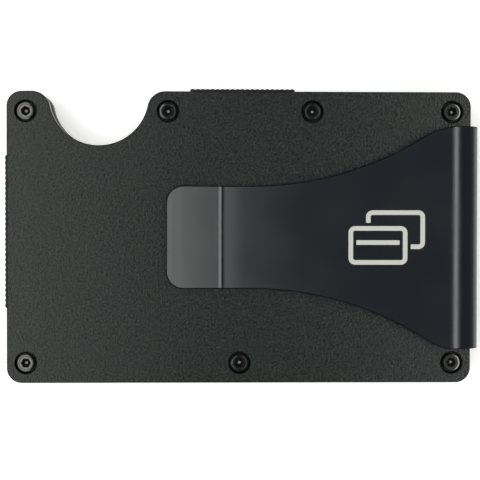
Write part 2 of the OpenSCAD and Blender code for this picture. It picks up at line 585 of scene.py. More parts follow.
@cache
def blasting() -> bpy.types.NodeTree:
    """Builds fine pits and a mottled tone, as bead blasting leaves on metal.

    Returns:
        A group with the inputs Grain (metres) and Mottle (metres) and the
        outputs Height, Pits and Tone, each from about 0 to 1.
    """
    effect = Effect("bead_blasting", {"Grain": 0.15 * MM, "Mottle": 0.5 * MM})
    pits = effect.noise("Grain", 1.0)
    scale = effect.sum_of("DIVIDE", 1.0, effect.given["Grain"])
    dust = effect.node("TexVoronoi", {"Vector": effect.place, "Scale": scale}, feature="F1")
    dust_share = 0.25
    height = effect.sum_of("MULTIPLY_ADD", dust.outputs["Distance"], dust_share, pits)
    return effect.finished({"Height": height, "Pits": pits, "Tone": effect.noise("Mottle", 2.0)})


@cache
def handling() -> bpy.types.NodeTree:
    """Builds soft large patches, as skin oil and handling leave on a surface.

    Returns:
        A group with the input Patch (metres) and the output Smudge, from 0 to 1.
    """
    effect = Effect("handling_marks", {"Patch": 12 * MM})
    cloud = effect.noise("Patch", 1.0, Roughness=0.3)
    return effect.finished({"Smudge": effect.spread(cloud, (0.3, 0.7))})


class Coat(Sheet):
    """The shader tree of one material, round its Principled BSDF."""

    def __init__(self, material: bpy.types.Material) -> None:
        """Takes the material to work on."""
        super().__init__(material.node_tree)
        self.shader = material.node_tree.nodes["Principled BSDF"]

    def tone(self, colour: Colour, mask: Socket, shares: Span) -> None:
        """Makes the base colour darker and lighter with a mask.

        Args:
            colour: the base colour.
            mask: from 0 to 1.
            shares: what the colour is multiplied by at 0 and at 1.
        """
        mix = self.node("Mix", {"Factor": mask}, data_type="RGBA")
        ends = [socket for socket in mix.inputs if socket.type == "RGBA"]
        for end, share in zip(ends, shares):
            end.default_value = (*(channel * share for channel in colour), 1)
        result = next(socket for socket in mix.outputs if socket.type == "RGBA")
        self.feed(self.shader, {"Base Color": result})

    def shine(self, mask: Socket, low: float, high: float) -> None:
        """Carries the roughness from a low to a high value with a mask from 0 to 1."""
        self.feed(self.shader, {"Roughness": self.spread(mask, wanted=(low, high))})

    def relief(self, height: Socket, depth: float, strength: float) -> None:
        """Raises the surface.

        Args:
            height: from 0 to 1.
            depth: how deep it is, in metres.
            strength: how strongly it shows.
        """
        bump = self.node("Bump", {"Height": height, "Distance": depth, "Strength": strength})
        self.feed(self.shader, {"Normal": bump.outputs["Normal"]})


@dataclass(frozen=True)
class Finish:
    """A surface finish. Its subclasses add what their surface shows.

    Attributes:
        name: the material's name.
        colour: its base colour, linear.
        roughness: its usual roughness.
        metallic: 1 for bare metal, 0 for a coating or cloth.
        ior: the coating's index of refraction.
    """

    name: str
    colour: Colour
    roughness: float
    metallic: float = 0.0
    ior: float = 1.5

    def material(self) -> bpy.types.Material:
        """Builds the finish's material, or finds it where it has been built.

        Returns:
            The material.
        """
        found = bpy.data.materials.get(self.name)
        if found:
            return found
        made = bpy.data.materials.new(self.name)
        made.use_nodes = True
        made.diffuse_color = (*self.colour, 1)
        coat = Coat(made)
        constants = {
            "Base Color": (*self.colour, 1),
            "Roughness": self.roughness,
            "Metallic": self.metallic,
            "IOR": self.ior,
        }
        coat.feed(coat.shader, constants)
        self.detail(coat)
        return made

    def detail(self, coat: Coat) -> None:
        """Adds what this kind of surface shows. A plain finish adds nothing.

        Args:
            coat: works on the material's shader tree.
        """


@dataclass(frozen=True)
class BlastedFinish(Finish):
    """Bead-blasted and anodised metal.

    Attributes:
        grain: the size of its pits, in metres.
        mottle: the size of its tone's patches, in metres.
        contrast: how far its tone varies, as a share.
        depth: how deep its pits are, in metres.
        patch: the size of the patches that handling leaves, in metres.
        swing: how far they change the roughness, either way.
    """

    grain: float = 0.3 * MM
    mottle: float = 0.42 * MM
    contrast: float = 0.65
    depth: float = 0.065 * MM
    patch: float = 14 * MM
    swing: float = 0.01

    def detail(self, coat: Coat) -> None:
        """Adds the pits, the mottled tone and a little handling.

        Args:
            coat: works on the material's shader tree.
        """
        metal = coat.group(blasting(), {"Grain": self.grain, "Mottle": self.mottle})
        mask = coat.spread(metal["Tone"], (0.35, 0.65))
        coat.tone(self.colour, mask, (1 - self.contrast, 1 + self.contrast))
        smudge = coat.group(handling(), {"Patch": self.patch})["Smudge"]
        coat.shine(smudge, self.roughness - self.swing, self.roughness + self.swing)
        coat.relief(metal["Height"], self.depth, 0.8)


@dataclass(frozen=True)
class CoatedSpring(Finish):
    """Black coating on rolled spring steel, with faint rolling lines across it.

    Attributes:
        line_pitch: the pitch of the rolling lines, in metres.
        draw: how much shorter their noise is across the strip than along it.
        depth: how deep they are, in metres.
        patch: the size of the patches that handling leaves, in metres.
    """

    line_pitch: float = 0.12 * MM
    draw: float = 0.02
    depth: float = 0.001 * MM
    patch: float = 9 * MM

    def detail(self, coat: Coat) -> None:
        """Adds the rolling lines, their tone and a little handling.

        Args:
            coat: works on the material's shader tree.
        """
        place = coat.node("TexCoord").outputs["Object"]
        drawn = coat.node("Mapping", {"Vector": place, "Scale": (1.0, self.draw, 1.0)}).outputs["Vector"]
        noise = coat.node("TexNoise", {"Vector": drawn, "Scale": 1 / self.line_pitch, "Detail": 3.0})
        lines = noise.outputs["Fac"]
        coat.tone(self.colour, lines, (0.85, 1.15))
        smudge = coat.group(handling(), {"Patch": self.patch})["Smudge"]
        coat.shine(smudge, self.roughness - 0.015, self.roughness + 0.02)
        coat.relief(lines, self.depth, 0.5)


@dataclass(frozen=True)
class TurnedSteel(Finish):
    """Steel under a thin black oxide that is uneven in tone and shine.

    Attributes:
        grain: the size of its pits, in metres.
        mottle: the size of its tone's patches, in metres.
    """

    grain: float = 0.08 * MM
    mottle: float = 0.9 * MM

    def detail(self, coat: Coat) -> None:
        """Adds the oxide's uneven tone and shine.

        Args:
            coat: works on the material's shader tree.
        """
        tone = coat.group(blasting(), {"Grain": self.grain, "Mottle": self.mottle})["Tone"]
        coat.tone(self.colour, tone, (0.6, 1.4))
        coat.shine(tone, self.roughness * 0.7, self.roughness * 1.3)


@dataclass(frozen=True)
class WovenElastic(Finish):
    """Black elastic webbing, its weave laid along the piece's own UV map.

    Attributes:
        pick_pitch: the pitch of the weft along the webbing, in metres.
        yarn_pitch: the pitch of the yarns across it, in metres.
        fibre: the size of the fibres that fray from them, in metres.
        fuzz: how much the fibres add to the weave's height.
        depth: how deep the weave is, in metres.
    """

    pick_pitch: float = 0.42 * MM
    yarn_pitch: float = 0.5 * MM
    fibre: float = 0.06 * MM
    fuzz: float = 0.35
    depth: float = 0.12 * MM

    def detail(self, coat: Coat) -> None:
        """Adds the plain weave's height, its tone, darker in its low parts as painted shade between the
        yarns and varied by the fibres, and a soft sheen.

        Args:
            coat: works on the material's shader tree.
        """
        place = coat.node("UVMap", uv_map="weave").outputs["UV"]
        parts = coat.node("SeparateXYZ", {"Vector": place}).outputs
        waves = (
            coat.sum_of("SINE", coat.sum_of("MULTIPLY", parts[axis], math.pi / pitch))
            for axis, pitch in (("X", self.yarn_pitch), ("Y", self.pick_pitch))
        )
        over = coat.spread(coat.sum_of("MULTIPLY", *waves), (-1.0, 1.0))
        fibres = coat.node("TexNoise", {"Vector": place, "Scale": 1 / self.fibre, "Detail": 2.0})
        height = coat.sum_of("MULTIPLY_ADD", fibres.outputs["Fac"], self.fuzz, over)
        # Painted shade: the colour is darkest where the weave is lowest; the fibres add random tone.
        coat.tone(self.colour, height, (0.55, 1.3))
        coat.relief(height, self.depth, 0.9)
        coat.feed(coat.shader, {"Sheen Weight": 0.06, "Sheen Roughness": 0.45})


@dataclass(frozen=True)
class LitTable(Finish):
    """Pale acrylic, lit a little from below.

    Attributes:
        glow: how brightly it shines by itself.
    """

    glow: float = 0.42

    def detail(self, coat: Coat) -> None:
        """Adds the light from below."""
        coat.feed(coat.shader, {"Emission Color": WHITE, "Emission Strength": self.glow})


@dataclass(frozen=True)
class EtchedMark(Finish):
    """Laser-etched metal, pale and grainy.

    Attributes:
        grain: the size of its pits, in metres.
        mottle: the size of its tone's patches, in metres.
        depth: how deep its pits are, in metres.
    """

    grain: float = 0.07 * MM
    mottle: float = 0.3 * MM
    depth: float = 0.01 * MM

    def detail(self, coat: Coat) -> None:
        """Adds the etching's fine grain.

        Args:
            coat: works on the material's shader tree.
        """
        metal = coat.group(blasting(), {"Grain": self.grain, "Mottle": self.mottle})
        coat.tone(self.colour, metal["Pits"], (0.86, 1.08))
        coat.relief(metal["Height"], self.depth, 0.4)


PLATE_FINISH = BlastedFinish("anodised_plate_face", (0.0078, 0.0106, 0.01), 0.25, ior=1.385)
# Painted shade: the plates' edge finish is darker and barely reflective, so their rounded edges read as a
# dark outline.
PLATE_EDGE_SHADE_FINISH = BlastedFinish(
    "plate_edge_painted_shade", (0.003, 0.0033, 0.0033), 0.5, ior=1.15, contrast=0.1, depth=0.01 * MM
)
INNER_FINISH = BlastedFinish(
    "inner_plate_face", (0.006, 0.006, 0.0064), 0.5, ior=1.25, contrast=0.2, depth=0.01 * MM
)
CLIP_FINISH = CoatedSpring("clip_coating", (0.009, 0.0115, 0.0155), 0.185, ior=1.54)
# Painted shade: the clip's edge finish is darker and barely reflective, so its rounded edges read as a dark
# outline.
CLIP_EDGE_SHADE_FINISH = CoatedSpring("clip_edge_painted_shade", (0.003, 0.0033, 0.004), 0.4, ior=1.15)
SCREW_FINISH = TurnedSteel("oxidised_screw_head", (0.01, 0.01, 0.012), 0.09, ior=1.8)
# Painted shade: black oxide made darker and nearly unreflective, for the sockets' walls and the heads' rim
# chamfers.
SOCKET_SHADE_FINISH = TurnedSteel("socket_and_rim_painted_shade", (0.003, 0.003, 0.0035), 0.5, ior=1.12)
# Painted glint: a bright steel spot at the bottom of each socket.
DRILL_POINT_GLINT_FINISH = TurnedSteel("drill_point_painted_glint", (0.14, 0.14, 0.135), 0.4, metallic=1.0)
WEBBING_FINISH = WovenElastic("elastic_webbing", (0.0035, 0.0035, 0.004), 0.85)
MARK_FINISH = EtchedMark("etched_mark", (0.55, 0.55, 0.52), 0.6)
FLOOR_FINISH = LitTable("pale_floor", (0.9, 0.9, 0.9), 0.7)

EDGE = 1  # the place among a piece's finishes of the dark, barely reflective one on its edges and sunk walls: painted shade
POINT = 2  # and of the bright steel one on a socket's drill point: a painted glint


# ---------------------------------------------------------------- plates


EAR_STOP = 1.2 * MM  # from the plates' right edge to the end of the clip's ears


@dataclass(frozen=True)
class Plan:
    """The outline that all four plates share, and where their screws stand.

    Attributes:
        corner_radius: the radius of the plates' corners.
        notch_from_edge: from the left edge to the thumb notch's centre.
        notch_drop: from the long edge down to that centre.
        notch_radius: the notch's radius.
        shoulder_radius: what rounds the notch into the long edge.
        facing: a node whose box gives the plates' length and width.
    """

    corner_radius: float = 2.75 * MM
    notch_from_edge: float = 16.95 * MM
    notch_drop: float = 0.75 * MM
    notch_radius: float = 9.25 * MM
    shoulder_radius: float = 3.3 * MM
    facing: str = "front_outer_plate"

    def outline(self) -> tuple[Vector, Vector, Path]:
        """Works out the outline from the middle of the right edge round to it again.

        Returns:
            The start, the first heading, and the path, all seen from above.
        """
        low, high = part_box(self.facing)
        rise = self.notch_radius + self.shoulder_radius
        drop = self.notch_drop - self.shoulder_radius
        reach = math.sqrt(rise**2 - drop**2)
        shoulder = 90 - math.degrees(math.asin(-drop / rise))
        corner = Bend(self.corner_radius, 90, 14)
        side = high.y - self.corner_radius
        notch_x = low.x + self.notch_from_edge
        path = (
            Run(side),
            corner,
            Run(high.x - self.corner_radius - notch_x - reach),
            Bend(self.shoulder_radius, shoulder, 14),
            Bend(self.notch_radius, -2 * shoulder, 44),
            Bend(self.shoulder_radius, shoulder, 14),
            Run(notch_x - reach - low.x - self.corner_radius),
            corner,
            Run(2 * side),
            corner,
            Run(high.x - low.x - 2 * self.corner_radius),
            corner,
            Run(side),
        )
        return Vector((high.x, 0, 0)), Vector((0, 1, 0)), path

    @staticmethod
    def screw_nodes(half: Half) -> list[str]:
        """Returns the names of one half's screw nodes."""
        return [f"{half.value}_screw_{i}" for i in range(1, 8)]

    @classmethod
    def screw_sites(cls, half: Half) -> list[Vector]:
        """Returns where each of a half's screws stands, as the middle of its node's box."""
        return [sum(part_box(node), Vector()) / 2 for node in cls.screw_nodes(half)]


@dataclass(frozen=True)
class StepHole:
    """A counterbored screw hole.

    Attributes:
        head_radius: the counterbore's radius.
        head_depth: the counterbore's depth.
        shank_radius: the radius of the hole under it.
    """

    head_radius: float = 1.95 * MM
    head_depth: float = 0.9 * MM
    shank_radius: float = 1.1 * MM

    def cutter(self, site: Vector, face: float, far: float) -> Workpiece:
        """Makes the solid that cuts the hole.

        Args:
            site: a point on the hole's axis.
            face: the height of the plate's outside face.
            far: the height of its inside face.

        Returns:
            The cutter, which stands proud of both faces.
        """
        inward = math.copysign(1, far - face)
        floor = face + inward * self.head_depth
        proud = face - inward * CLEAR
        middle = Vector((site.x, site.y, (floor + proud) / 2))
        cutter = Workpiece.cylinder("hole_cutter", middle, self.head_radius, abs(floor - proud))
        with cutter.editing():
            cutter.pick(Pick.FACES, lambda v: abs(v.z - floor) < WELD)
            cutter.inset(self.head_radius - self.shank_radius)
            cutter.extrude(UP * (far + inward * CLEAR - floor))
        return cutter


@dataclass
class PlateSet:
    """The four plates: an outer and an inner one at the front and at the rear.

    Attributes:
        plan: the outline that they share.
        hole: the outer plates' screw holes.
        tapped_radius: the radius of the inner plates' tapped holes.
        drill_length: the length of what cuts them.
        outer_rounding: the width of the outer plates' rounded edges.
        inner_rounding: the width of the inner plates' rounded edges.
        fit: the gap round pieces that lie in channels and pockets.
        channel_depth: how deep the webbing's channels are.
        pocket_depth: how deep the clip's pocket under the front plate is.
        webbing: the webbing's thickness.
    """

    plan: Plan = field(default_factory=Plan)
    hole: StepHole = field(default_factory=StepHole)
    tapped_radius: float = 1.02 * MM
    drill_length: float = 4 * MM
    outer_rounding: float = 0.17 * MM
    inner_rounding: float = 0.12 * MM
    fit: float = 0.05 * MM
    channel_depth: float = 0.9 * MM
    pocket_depth: float = 0.75 * MM
    webbing: float = 0.85 * MM

    def blank(self, name: str, node: str) -> Workpiece:
        """Makes a plate with no holes, at its node's height.

        Args:
            name: what the plate is called.
            node: the node that it stands for.

        Returns:
            The blank.
        """
        low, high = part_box(node)
        start, heading, path = self.plan.outline()
        return Workpiece.prism(name, start + UP * low.z, heading, path, high.z - low.z)

    def outer(self, half: Half) -> None:
        """Makes an outer plate, with its counterbored holes and the clip's pocket.

        Args:
            half: the half that it belongs to.
        """
        node = f"{half.value}_outer_plate"
        low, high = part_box(node)
        plate = self.blank(f"{half.value}_cover_plate", node)
        face, far = (high.z, low.z) if half is Half.FRONT else (low.z, high.z)
        for site in self.plan.screw_sites(half):
            plate.cut(Cut.AWAY, self.hole.cutter(site, face, far))
        plate.dress(PLATE_FINISH, PLATE_EDGE_SHADE_FINISH)
        # Painted shade: the rounded edges take the dark edge finish.
        plate.soften(self.outer_rounding, 4, slot=EDGE)
        if half is Half.FRONT:
            plate.cut(Cut.AWAY, *self.clip_pocket(low.z))
        plate.enrol(Slot.PLATE, half.body, [node])

    def clip_pocket(self, under: float) -> list[Workpiece]:
        """Makes what cuts the clip's pocket under the front plate.

        Args:
            under: the height of the plate's underside.

        Returns:
            One block for the root's ears and one that leaves through the right edge.
        """
        root_low, root_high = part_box("clip_root")
        half_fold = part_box("clip_arm")[1].y
        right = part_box("front_outer_plate")[1].x
        ear_end = right - EAR_STOP
        top = under + self.pocket_depth
        ears = Workpiece.block(
            "ear_pocket",
            Vector((root_low.x - self.fit, root_low.y - self.fit, under - CLEAR)),
            Vector((ear_end + self.fit, root_high.y + self.fit, top)),
        )
        mouth = Workpiece.block(
            "pocket_mouth",
            Vector((ear_end - CLEAR, -half_fold - self.fit, under - CLEAR)),
            Vector((right + CLEAR, half_fold + self.fit, top)),
        )
        return [ears, mouth]

    def inner(self, half: Half) -> None:
        """Makes an inner plate, with its tapped holes and the webbing's channels.

        Args:
            half: the half that it belongs to.
        """
        node = f"{half.value}_inner_plate"
        low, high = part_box(node)
        plate = self.blank(f"{half.value}_liner_plate", node)
        middle = (low.z + high.z) / 2
        for site in self.plan.screw_sites(half):
            centre = Vector((site.x, site.y, middle))
            hole = Workpiece.cylinder("tapped_hole", centre, self.tapped_radius, self.drill_length, 32)
            plate.cut(Cut.AWAY, hole)
        through = (low.z - CLEAR, high.z + CLEAR)
        channel = (high.z - self.channel_depth, high.z + CLEAR)
        if half is Half.REAR:
            channel = (low.z - CLEAR, low.z + self.channel_depth)
        plate.cut(Cut.AWAY, *self.webbing_channels(channel, through))
        plate.dress(INNER_FINISH)
        plate.soften(self.inner_rounding, 2)
        plate.enrol(Slot.INNER, half.body, [node])

    def webbing_channels(self, channel: Span, through: Span) -> list[Workpiece]:
        """Makes what cuts the webbing's channels into an inner plate.

        Args:
            channel: the channels' cutters' lowest and highest point.
            through: a height below the plate and one above it.

        Returns:
            The cutters for both channels and for the reliefs at the edges.
        """
        loop_low, loop_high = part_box("elastic_loop")
        band_low, band_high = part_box("elastic_band")
        thick, past = self.webbing + self.fit, 4 * CLEAR
        ends = (loop_low.x - past, loop_high.x + past)
        back = band_high.y + past
        loop_width = (loop_low.y - self.fit, loop_high.y + self.fit)
        band_width = (band_low.x - self.fit, band_high.x + self.fit)
        spans = {
            "loop_channel": (ends, loop_width, channel),
            "band_channel": (band_width, (0, back), channel),
            "band_relief": (band_width, (band_high.y - thick, back), through),
            "left_relief": ((ends[0], loop_low.x + thick), loop_width, through),
            "right_relief": ((loop_high.x - thick, ends[1]), loop_width, through),
        }
        return [Workpiece.block(name, *map(Vector, zip(*sides))) for name, sides in spans.items()]

    def build(self) -> None:
        """Makes all four plates."""
        for half in Half:
            self.outer(half)
            self.inner(half)


# ---------------------------------------------------------------- screws


@dataclass
class SocketScrews:
    """Low-head hexagon socket screws, seven in each outer plate.

    Attributes:
        plan: gives the screws' places.
        head_radius: the head's radius.
        head_height: the head's height.
        shank_radius: the thread's radius.
        socket_radius: from the hexagon's middle to its corners.
        socket_depth: the hexagon's depth.
        point: how much the thread's end is chamfered.
        chamfer: the width of the rim's chamfer.
        land: from the rim's chamfer to the turned groove.
        dome: how far the head's face rises from its rim to the groove.
        groove: the widths and rises of the groove's wall, floor and wall.
        drill_point: the widths and rises of the steps in the socket's floor.
        glint_radius: how far the bright steel of the painted glint in that floor reaches.
        glint_depth: between which depths it lies.
        rounding: the width of the head's rounded edges.
        turns: how far each screw's socket is turned, in degrees.
    """

    plan: Plan = field(default_factory=Plan)
    head_radius: float = 1.65 * MM
    head_height: float = 0.8 * MM
    shank_radius: float = 0.98 * MM
    socket_radius: float = 0.93 * MM
    socket_depth: float = 0.65 * MM
    point: float = 0.2 * MM
    chamfer: float = 0.1 * MM
    land: float = 0.22 * MM
    dome: float = 0.015 * MM
    groove: tuple[Span, ...] = ((0.03 * MM, -0.05 * MM), (0.04 * MM, 0.0), (0.03 * MM, 0.05 * MM))
    drill_point: tuple[Span, ...] = ((0.56 * MM, -0.08 * MM), (0.18 * MM, -0.1 * MM))
    glint_radius: float = 0.36 * MM
    glint_depth: Span = (0.7 * MM, 1.0 * MM)
    rounding: float = 0.03 * MM
    turns: tuple[float, ...] = (10, 38, 26, 14, 30, 8, 22)

    def pattern(self, length: float) -> Workpiece:
        """Makes one screw with its head's top at the origin.

        Args:
            length: the screw's whole length.

        Returns:
            The screw, its thread pointing down.
        """
        floor, rim = -self.head_height, -self.chamfer
        middle = Vector((0, 0, (floor + rim) / 2))
        screw = Workpiece.cylinder("screw_pattern", middle, self.head_radius, rim - floor, 60)
        with screw.editing():
            screw.pick(Pick.FACES, lambda v: abs(v.z - floor) < WELD)
            screw.inset(self.head_radius - self.shank_radius)
            screw.extrude(UP * (self.head_height + self.point - length))
            screw.terrace((self.point, -self.point))
            screw.pick(Pick.FACES, lambda v: abs(v.z - rim) < WELD)
            screw.terrace((self.chamfer, self.chamfer - self.dome), (self.land, self.dome), *self.groove)
        centre = UP * (CLEAR - self.socket_depth) / 2
        hexagon = Workpiece.cylinder("socket", centre, self.socket_radius, self.socket_depth + CLEAR, 6)
        with hexagon.editing():
            hexagon.pick(Pick.FACES, lambda v: v.z < WELD - self.socket_depth)
            hexagon.terrace(*self.drill_point)
        screw.cut(Cut.AWAY, hexagon)
        screw.dress(SCREW_FINISH, SOCKET_SHADE_FINISH, DRILL_POINT_GLINT_FINISH)
        screw.soften(self.rounding, 2, 32, crowded=True)
        # Painted shade: the socket's walls and the head's rim chamfer take the dark finish.
        wall = self.socket_radius + WELD
        screw.repaint(EDGE, lambda v: v.xy.length < wall and v.z < -0.5 * self.rounding)
        screw.repaint(EDGE, lambda v: v.xy.length > self.head_radius - self.chamfer - self.rounding)
        # Painted glint: the drill point takes the bright steel finish.
        near, far = self.glint_depth
        screw.repaint(POINT, lambda v: v.xy.length < self.glint_radius and near < -v.z < far)
        return screw

    def build(self) -> None:
        """Copies the screw to its fourteen places."""
        low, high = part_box("front_screw_1")
        pattern = self.pattern(high.z - low.z)
        for half in (Half.FRONT, Half.REAR):
            for turn, node in zip(self.turns, self.plan.screw_nodes(half)):
                low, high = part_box(node)
                spin = Matrix.Rotation(math.radians(turn), 4, "Z")
                head = high.z
                if half is Half.REAR:
                    head = low.z
                    spin = Matrix.Rotation(math.pi, 4, "X") @ spin
                spot = Matrix.Translation((*((low + high) / 2).xy, head))
                pattern.copy("socket_" + node, spot @ spin).enrol(Slot.SCREW, half.body, [node])
        bpy.data.meshes.remove(pattern.thing.data)


# ---------------------------------------------------------------- webbing


@dataclass
class Webbing:
    """The elastic loop round both short ends, and the band over the long edge.

    Attributes:
        thickness: the webbing's thickness.
        corner_radius: its outer radius where it turns a corner.
        rib_pitch: the pitch of its elastic cords.
        rib_depth: how far the cords stand out between their valleys.
        rib_shoulder: how deep a cord's sides lie, as a share of that.
        free_low: the height up to which it would follow the rear plates; not used.
        free_high: the height from which it would follow the front plates; not used.
    """

    thickness: float = 0.85 * MM
    corner_radius: float = 0.7 * MM
    rib_pitch: float = 0.95 * MM
    rib_depth: float = 0.13 * MM
    rib_shoulder: float = 0.25
    free_low: float = 2.9 * MM
    free_high: float = 5.1 * MM

    def ribbed_end(self, name: str, centre: Vector, width_way: Vector, width: float) -> Workpiece:
        """Makes the webbing's ribbed cross-section as one face.

        Args:
            name: what the webbing is called.
            centre: the section's middle.
            width_way: the unit direction across the webbing.
            width: the webbing's width.

        Returns:
            The section, one face with many corners.
        """
        ribs = round(width / self.rib_pitch)
        start = centre - width_way * width / 2
        end = Workpiece.ribbon(name, start, width_way, Run(width, ribs * 4), UP * self.thickness)
        pitch = width / ribs

        def sunk(side: int, quarter: Sequence[int]) -> Test:
            """Makes a test for the corners of one side's valleys or cord flanks.

            Args:
                side: 1 for the upper side, -1 for the lower.
                quarter: the quarters of a rib that are meant, from 0 in a valley.

            Returns:
                The test.
            """

            def test(place: Vector) -> bool:
                """Returns whether a corner is one of them."""
                column = round((place - start).dot(width_way) / pitch * 4) % 4
                return (place.z - centre.z) * side > 0 and column in quarter

            return test

        with end.editing():
            for side in (-1, 1):
                for quarter, share in (((0,), 1.0), ((1, 3), self.rib_shoulder)):
                    end.pick(Pick.CORNERS, sunk(side, quarter))
                    end.shift(UP * -side * self.rib_depth * share)
            bpy.ops.mesh.select_mode(type="FACE")
            bpy.ops.mesh.select_all(action="SELECT")
            bpy.ops.mesh.dissolve_faces()
        return end

    def map_weave(self, piece: Workpiece, across: int, reach: float, top: float) -> None:
        """Lays a UV map in metres: across the webbing, and along its path.

        Args:
            piece: the webbing.
            across: the axis that its width lies on, 0 or 1.
            reach: how far its outside stands from the middle.
            top: the height of its upper face.
        """
        data = piece.thing.data
        layer = data.uv_layers.new(name="weave")
        for loop in data.loops:
            place = data.vertices[loop.vertex_index].co
            out = abs(place[1 - across])
            along = out if place.z > top - self.thickness else reach + top - place.z
            layer.data[loop.index].uv = (place[across], along)

    def finish_off(self, piece: Workpiece, node: str) -> None:
        """Dresses, shades and logs one piece of webbing, and bakes its place into its mesh.

        Args:
            piece: the webbing.
            node: the node that it stands for.
        """
        piece.dress(WEBBING_FINISH)
        select_only(piece.thing)
        bpy.ops.object.shade_smooth_by_angle(angle=math.radians(50))
        piece.enrol(Slot.WEBBING, None, [node])
        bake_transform(piece.thing)

    def loop(self) -> None:
        """Makes the closed loop, from the middle of its upper run round to it again."""
        low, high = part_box("elastic_loop")
        middle = Vector((0, (low.y + high.y) / 2, high.z - self.thickness / 2))
        section = self.ribbed_end("webbing_loop", middle, BACK, high.y - low.y)
        corner = Bend(self.corner_radius, 90, 5)
        flat_run = high.x - self.corner_radius
        end = (corner, Run(high.z - low.z - 2 * self.corner_radius, 10), corner)
        path = (Run(flat_run, 3), *end, Run(2 * flat_run, 6), *end, Run(flat_run, 3))
        with section.editing(Pick.EDGES):
            bpy.ops.mesh.select_all(action="SELECT")
            bpy.ops.mesh.delete(type="ONLY_FACE")
            bpy.ops.mesh.select_all(action="SELECT")
            section.sweep(UP * high.z, RIGHT, BACK, path)
        section.close()
        self.map_weave(section, 1, high.x, high.z)
        self.finish_off(section, "elastic_loop")

    def band(self) -> None:
        """Makes the U-shaped band over the notched long edge."""
        low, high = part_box("elastic_band")
        middle = Vector(((low.x + high.x) / 2, low.y, high.z - self.thickness / 2))
        section = self.ribbed_end("webbing_band", middle, RIGHT, high.x - low.x)
        corner = Bend(self.corner_radius, -90, 5)
        flat_run = Run(high.y - self.corner_radius - low.y, 4)
        end = (corner, Run(high.z - low.z - 2 * self.corner_radius, 10), corner)
        with section.editing():
            bpy.ops.mesh.select_all(action="SELECT")
            section.sweep(Vector((0, low.y, high.z)), BACK, RIGHT, (flat_run, *end, flat_run))
            bpy.ops.mesh.select_all(action="SELECT")
            bpy.ops.mesh.normals_make_consistent(inside=False)
        self.map_weave(section, 0, high.y, high.z)
        self.finish_off(section, "elastic_band")

    def build(self) -> None:
        """Makes both pieces of webbing."""
        self.loop()
        self.band()


# ---------------------------------------------------------------- clip


